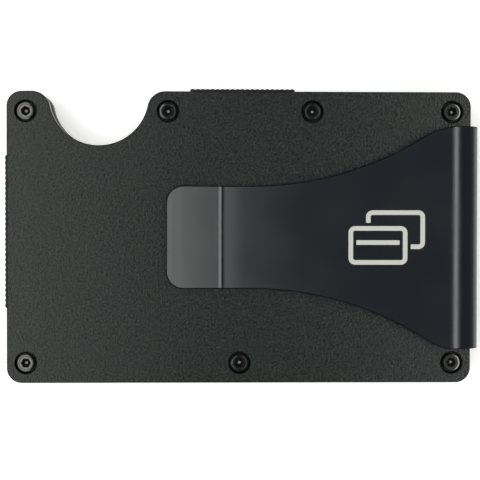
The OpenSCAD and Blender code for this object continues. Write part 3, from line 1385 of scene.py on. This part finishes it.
@dataclass
class BanknoteClip:
    """The folded strip of spring steel, from its hidden root to its raised lip.

    Attributes:
        thickness: the sheet's thickness.
        tip_width: its width at the tip.
        tip_radius: the radius of the tip's corners.
        crease_x: where the pressed crease lies.
        crease_height: the height of the sheet's underside there.
        lower_radius: the outer radius of the bend at the foot of the fold.
        upper_radius: the outer radius that sets where the arm starts.
        crown_radius: the outer radius of the fold's crown, next to the arm.
        crown_turn: how far the crown turns past level, in degrees.
        crown_end: where the crown meets the arm.
        flare_start: where the sides start to widen.
        flare_ends: where the upper and the lower side reach full width.
        flare_radius: the radius of their hollow curve.
        crease_step: how steeply the lip leaves the crease, in degrees.
        lip_angle: the lip's slope once it has eased, in degrees.
        lip_lift: how much more it slopes at its tip, in degrees.
        lip_level: how much of the lip has that slope all along.
        droop: how the arm steepens ahead of the crease.
        crease_lead: how it flattens out again, into the crease.
        crease_radius: the crease's own radius.
        crease_floor: the length of its level floor.
        crease_ease: the radius that eases the lip's slope behind it.
        support: short straight stretches that hold the bends' shading.
        rounding: the width of the sheet's rounded edges.
        ear_hole: the radius of the screw holes in the root's ears.
        drill_length: the length of what cuts them.
        plan_base: the height where the block that cuts the outline starts.
        plan_height: how tall that block is.
        plan_corner: the radius of its corners beyond the fold.
        flex_lean: how far the strip would lean where it bends as the arm lifts; not used.
        flex_rise: how high up the fold that bending would be spread; not used.
    """

    thickness: float = 0.7 * MM
    tip_width: float = 19.0 * MM
    tip_radius: float = 3.2 * MM
    crease_x: float = -3.1 * MM
    crease_height: float = 8.1 * MM
    lower_radius: float = 1.2 * MM
    upper_radius: float = 4.0 * MM
    crown_radius: float = 8.0 * MM
    crown_turn: float = 25.0
    crown_end: float = 38.6 * MM
    flare_start: float = 2.3 * MM
    flare_ends: tuple[float, float] = (40.6 * MM, 39.1 * MM)
    flare_radius: float = 60 * MM
    crease_step: float = 11.5
    lip_angle: float = 7.6
    lip_lift: float = 3.0
    lip_level: float = 0.6 * MM
    droop: Bend = Bend(200 * MM, 1.0, 4)
    crease_lead: tuple[Bend, ...] = (Bend(14 * MM, -1.6, 3), Bend(3.6 * MM, -5.5, 4))
    crease_radius: float = 0.9 * MM
    crease_floor: float = 0.3 * MM
    crease_ease: float = 3 * MM
    support: float = 0.4 * MM
    rounding: float = 0.18 * MM
    ear_hole: float = 1.2 * MM
    drill_length: float = 6 * MM
    plan_base: float = 3 * MM
    plan_height: float = 12 * MM
    plan_corner: float = 0.01 * MM
    flex_lean: float = -0.05
    flex_rise: float = 3.18 * MM

    def slope(self) -> float:
        """Works out how steeply the arm falls from the fold to the crease.

        Returns:
            The slope in degrees.
        """
        low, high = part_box("clip_arm")
        gap = Vector((high.x - self.upper_radius - self.crease_x, low.z - self.crease_height))
        inner = self.upper_radius - self.thickness
        return math.degrees(math.asin(inner / gap.length) + math.atan2(gap.y, gap.x))

    def skin_height(self, place_x: float) -> float:
        """Works out how high the arm's outer skin lies.

        Args:
            place_x: where along the arm.

        Returns:
            The skin's height there.
        """
        low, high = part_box("clip_arm")
        tilt = math.radians(self.slope())
        lean = (high.x - self.upper_radius - place_x) * math.tan(tilt)
        return low.z + self.upper_radius / math.cos(tilt) - lean

    def profile(self) -> tuple[Vector, Path]:
        """Works out the sheet's outer skin, seen from the side.

        Returns:
            Where the skin starts under the plate, and its path.
        """
        root_low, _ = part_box("clip_root")
        arm_low, arm_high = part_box("clip_arm")
        slope = self.slope()
        tilt, turned = math.radians(slope), math.radians(self.crown_turn)
        level = Vector((self.crown_end + self.crown_radius * math.sin(tilt), 0))
        level.y = self.skin_height(self.crown_end) + self.crown_radius * (1 - math.cos(tilt))
        reach = arm_high.x - level.x
        side_radius = (reach - self.crown_radius * math.sin(turned)) / (1 - math.sin(turned))
        fall = self.crown_radius * (1 - math.cos(turned)) + side_radius * math.cos(turned)
        riser = level.y - fall - root_low.z - self.lower_radius
        turned_in = self.droop.turn + sum(bend.turn for bend in self.crease_lead)
        bends = (
            *self.crease_lead,
            Bend(self.crease_radius, -(slope + self.crease_step + turned_in), 4),
            Bend(self.crease_ease, self.crease_step - self.lip_angle, 3),
        )
        pressed = sum(bend.radius * math.radians(abs(bend.turn)) for bend in bends)
        drooping = self.droop.radius * math.radians(self.droop.turn)
        arm = (self.crown_end - self.crease_x) / math.cos(tilt) - pressed / 2 - drooping
        lip = abs(arm_low.x - self.crease_x) - self.lip_level
        hold = Run(self.support)
        start = Vector((arm_high.x - self.lower_radius - self.support, 0, root_low.z))
        path = (
            hold,
            Bend(self.lower_radius, 90, 12),
            Run(riser),
            Bend(side_radius, 90 - self.crown_turn, 26),
            Bend(self.crown_radius, self.crown_turn + slope, 18),
            hold,
            Run(arm - 2 * self.support, 8),
            hold,
            self.droop,
            *bends[:-1],
            Run(self.crease_floor),
            bends[-1],
            hold,
            Bend(lip / math.radians(self.lip_lift), -self.lip_lift, 6),
            Run(2 * CLEAR),
        )
        return start, path

    def flare(self, rise: float, end: float) -> tuple[Bend, Bend]:
        """Works out how one side narrows from the fold to the tip.

        Args:
            rise: how much nearer the middle the side is at the tip.
            end: where along the clip the side reaches its full width.

        Returns:
            The round shoulder next to the fold, and the long hollow curve.
        """
        run = end - self.flare_start
        turn = 2 * math.degrees(math.atan2(rise, run))
        shoulder = run / math.sin(math.radians(turn)) - self.flare_radius
        return Bend(shoulder, turn, 12), Bend(self.flare_radius, -turn, 30)

    def plan(self) -> Workpiece:
        """Makes the upright block whose outline the sheet is cut to.

        Returns:
            The block.
        """
        low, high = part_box("clip_arm")
        tip = Bend(self.tip_radius, 90, 10)
        straight = Run(self.flare_start - low.x - self.tip_radius)
        upper, lower = (self.flare(high.y - self.tip_width / 2, end) for end in self.flare_ends)
        end = high.x + 2 * CLEAR
        square = Bend(self.plan_corner, 90, 1)
        path = (
            Run(end - self.flare_ends[0]),
            *upper,
            straight,
            tip,
            Run(self.tip_width - 2 * self.tip_radius),
            tip,
            straight,
            *reversed(lower),
            Run(end - self.flare_ends[1]),
            square,
            Run(2 * (high.y - square.radius)),
            square,
        )
        start = Vector((end, high.y, self.plan_base))
        return Workpiece.prism("clip_plan", start, -RIGHT, path, self.plan_height)

    def build(self) -> None:
        """Folds the strip, cuts its outline, and grows its root and ears."""
        start, path = self.profile()
        first = path[0]
        bend = start + RIGHT * first.length
        across = 2 * BACK * (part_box("clip_arm")[1].y + CLEAR)
        strip = Workpiece.ribbon("money_clip", start, RIGHT, first, across)
        with strip.editing():
            strip.pick(Pick.EDGES, lambda v: v.x > bend.x - WELD)
            strip.sweep(bend, RIGHT, -BACK, path[1:])
        strip.modify("SOLIDIFY", thickness=self.thickness, offset=1.0, use_even_offset=True)
        strip.close()
        strip.cut(Cut.KEEP, self.plan())
        self.grow_root(strip, start.x)
        strip.dress(CLIP_FINISH, CLIP_EDGE_SHADE_FINISH)
        # Painted shade: the rounded edges take the dark edge finish.
        strip.soften(self.rounding, 3, 45, slot=EDGE)
        # The broad faces' shading stays flat next to the narrow strips of the bends.
        strip.modify("WEIGHTED_NORMAL", mode="FACE_AREA", weight=60, keep_sharp=True)
        strip.enrol(Slot.CLIP, None, ["clip_root", "clip_arm"])
        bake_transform(strip.thing)

    def grow_root(self, strip: Workpiece, edge: float) -> None:
        """Extends the strip under the plate, with its two screw ears.

        Args:
            strip: the folded strip.
            edge: where the strip starts.
        """
        low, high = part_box("clip_root")
        half_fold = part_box("clip_arm")[1].y
        ear_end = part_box("front_outer_plate")[1].x - EAR_STOP
        with strip.editing():
            strip.pick(Pick.FACES, lambda v: abs(v.x - edge) < WELD and v.z < high.z)
            for reach in (ear_end - edge, low.x - ear_end):
                strip.extrude(RIGHT * reach)
            for side in (-1, 1):
                flank = side * half_fold
                strip.pick(
                    Pick.FACES,
                    lambda v: abs(v.y - flank) < WELD and v.x < ear_end + WELD and v.z < high.z,
                )
                strip.extrude(BACK * (side * high.y - flank))
        for node in ("front_screw_4", "front_screw_7"):
            centre = sum(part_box(node), Vector()) / 2
            hole = Workpiece.cylinder("ear_hole", centre, self.ear_hole, self.drill_length, 40)
            strip.cut(Cut.AWAY, hole)


@dataclass
class CardMark:
    """A plain pictogram of two overlapping cards, etched on the clip.

    Attributes:
        centre_x: where its middle lies along the clip.
        centre_y: where its middle lies across the clip.
        card_width: each card's width.
        card_height: each card's height.
        card_radius: the radius of the cards' corners.
        stroke: the width of its lines.
        step: how far the rear card is shifted along and up.
        gap: the gap round the front card, in strokes.
        stripe_inset: from the front card's sides to its stripe, in strokes.
        stripe_rise: how far the stripe stands above the card's middle.
        depth: how thick the mark's skin is.
    """

    centre_x: float = 27.0 * MM
    centre_y: float = 0.0
    card_width: float = 10.8 * MM
    card_height: float = 7.1 * MM
    card_radius: float = 1.2 * MM
    stroke: float = 0.85 * MM
    step: Span = (3.2 * MM, 2.9 * MM)
    gap: float = 0.7
    stripe_inset: float = 1.7
    stripe_rise: float = 0.1 * MM
    depth: float = 0.03 * MM

    def card(self, name: str, middle: Vector, grow: float, thick: float) -> Workpiece:
        """Makes a card's rounded block.

        Args:
            name: what the block is called.
            middle: the card's middle.
            grow: how far its sides are moved out.
            thick: how thick it is.

        Returns:
            The block, its lower face at the middle's height.
        """
        width, height = self.card_width + 2 * grow, self.card_height + 2 * grow
        radius = self.card_radius + grow
        bend = Bend(radius, 90, 8)
        flat, upright = Run(width - 2 * radius), Run(height - 2 * radius)
        start = middle + Vector((width / 2, radius - height / 2, 0))
        return Workpiece.prism(name, start, BACK, (upright, bend, flat, bend) * 2, thick)

    def outline(self, name: str, middle: Vector) -> Workpiece:
        """Makes one card's outline, a frame as wide as the stroke.

        Args:
            name: what the frame is called.
            middle: the card's middle.

        Returns:
            The frame.
        """
        ring = self.card(name, middle, 0, self.depth)
        ring.cut(Cut.AWAY, self.card("hollow", middle - UP * CLEAR, -self.stroke, 2 * CLEAR))
        return ring

    def build(self, clip: BanknoteClip) -> None:
        """Makes the mark and lays it on the clip's arm.

        Args:
            clip: gives the arm's slope and height.
        """
        near = Vector((*self.step, 0)) / -2
        mark = self.outline("etched_card_mark", -near)
        mark.cut(Cut.AWAY, self.card("gap", near - UP * CLEAR, self.gap * self.stroke, 2 * CLEAR))
        reach = self.card_width / 2 - self.stripe_inset * self.stroke
        stripe = Workpiece.block(
            "stripe",
            near + Vector((-reach, self.stripe_rise, 0)),
            near + Vector((reach, self.stripe_rise + self.stroke, self.depth)),
        )
        mark.join(self.outline("front_card", near), stripe)
        mark.thing.matrix_world = self.place(clip)
        mark.settle()
        mark.dress(MARK_FINISH)
        mark.enrol(Slot.CLIP, Body.CLIP)

    def place(self, clip: BanknoteClip) -> Matrix:
        """Works out where the mark's skin lies on the arm's sloping face.

        Args:
            clip: gives the arm's slope and height.

        Returns:
            The place and turn that carry the mark there.
        """
        slope = math.radians(clip.slope())
        tilt = Matrix.Rotation(-slope, 4, "Y")
        skin = Vector((self.centre_x, self.centre_y, clip.skin_height(self.centre_x)))
        normal = Vector((-math.sin(slope), 0, math.cos(slope)))
        spot = skin - normal * self.depth / 2
        return Matrix.Translation(spot) @ tilt


# ---------------------------------------------------------------- studio


@dataclass(frozen=True)
class SoftPanel:
    """A flat soft light overhead, given by the angles that it fills as seen from below.

    Attributes:
        name: what the light is called.
        near: its nearer edge's angle from straight up, in degrees, positive to the right.
        far: its further edge's angle.
        radiance: how bright its face is.
        half_depth: how far it reaches to the front and back.
        height: how high it hangs.
        tint: the colour of its light.
    """

    name: str
    near: float
    far: float
    radiance: float
    half_depth: float = 1.1
    height: float = 1.2
    tint: Colour = (1.0, 1.0, 0.96)

    def hang(self) -> None:
        """Adds the light."""
        left, right = sorted(self.height * math.tan(math.radians(side)) for side in (self.near, self.far))
        width, depth = right - left, 2 * self.half_depth
        bpy.ops.object.select_all(action="DESELECT")
        bpy.ops.object.light_add(type="AREA", location=((left + right) / 2, 0, self.height))
        light = bpy.context.object
        light.name = light.data.name = self.name
        light.data.shape = "RECTANGLE"
        light.data.size = width
        light.data.size_y = depth
        light.data.energy = 4 * self.radiance * width * depth
        light.data.color = self.tint


@dataclass
class Studio:
    """A pale floor, soft light from both sides and the camera overhead.

    Attributes:
        camera_place: where the camera stands.
        camera_aim: what it looks at.
        lens: its focal length, in millimetres on a 36 mm wide frame.
        roll: how far it is rolled, in degrees.
        panels: the soft lights.
        walls: the brightness of the room's walls at floor level.
        ceiling: the brightness of its ceiling.
        wall_top: how high the walls' light reaches, as the sine of its angle.
        floor_size: how wide the floor is.
    """

    camera_place: Vector = field(default_factory=lambda: Vector((-4.7, 2.5, 228)) * MM)
    camera_aim: Vector = field(default_factory=lambda: Vector((0.09, -0.51, 8)) * MM)
    lens: float = 89.05
    roll: float = 0.06
    panels: tuple[SoftPanel, ...] = (
        SoftPanel("left_panel", -7, -58, 2.0),
        SoftPanel("right_panel", 13.2, 32, 0.5),
        SoftPanel("right_core", 17.5, 26.5, 3.4, height=1.1),
    )
    walls: float = 0.36
    ceiling: float = 0.02
    wall_top: float = 0.72
    floor_size: float = 3.0

    def build(self) -> None:
        """Sets up the floor, the lights, the room and the camera."""
        self.lay_floor()
        for panel in self.panels:
            panel.hang()
        self.dim_room()
        self.set_camera()

    def lay_floor(self) -> None:
        """Lays the floor at the wallet's rear face."""
        bpy.ops.object.select_all(action="DESELECT")
        bpy.ops.mesh.primitive_plane_add(size=self.floor_size)
        floor = bpy.context.object
        floor.name = "floor"
        floor.data.materials.append(FLOOR_FINISH.material())

    def dim_room(self) -> None:
        """Gives the room pale walls that fade to a dim ceiling, behind a white backdrop."""
        world = bpy.data.worlds.new("studio_room")
        world.use_nodes = True
        sheet = Sheet(world.node_tree)
        direction = sheet.node("TexCoord").outputs["Generated"]
        rise = sheet.node("SeparateXYZ", {"Vector": direction}).outputs["Z"]
        fade = sheet.spread(rise, (0.0, self.wall_top), (self.walls, self.ceiling))
        seen = sheet.node("LightPath").outputs["Is Camera Ray"]
        strength = sheet.sum_of("MAXIMUM", fade, seen)
        sheet.feed(world.node_tree.nodes["Background"], {"Color": WHITE, "Strength": strength})
        bpy.context.scene.world = world
        bpy.context.scene.view_settings.view_transform = "Standard"

    def set_camera(self) -> None:
        """Sets the camera straight over the wallet."""
        sight = self.camera_aim - self.camera_place
        pitch, yaw = -math.atan(sight.y / sight.z), math.atan(sight.x / sight.z)
        bpy.ops.object.select_all(action="DESELECT")
        bpy.ops.object.camera_add(
            location=self.camera_place, rotation=(pitch, yaw, math.radians(self.roll))
        )
        camera = bpy.context.object
        camera.name = "camera"
        camera.data.lens = self.lens
        camera.data.clip_start = 0.01
        bpy.context.scene.camera = camera


def main() -> None:
    """Builds the wallet's pieces and the studio."""
    logging.basicConfig(level=logging.INFO, format="%(name)s: %(message)s")
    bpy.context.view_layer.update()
    Studio().build()
    PlateSet().build()
    SocketScrews().build()
    Webbing().build()
    clip = BanknoteClip()
    clip.build()
    CardMark().build(clip)


if __name__ == "__main__":
    main()
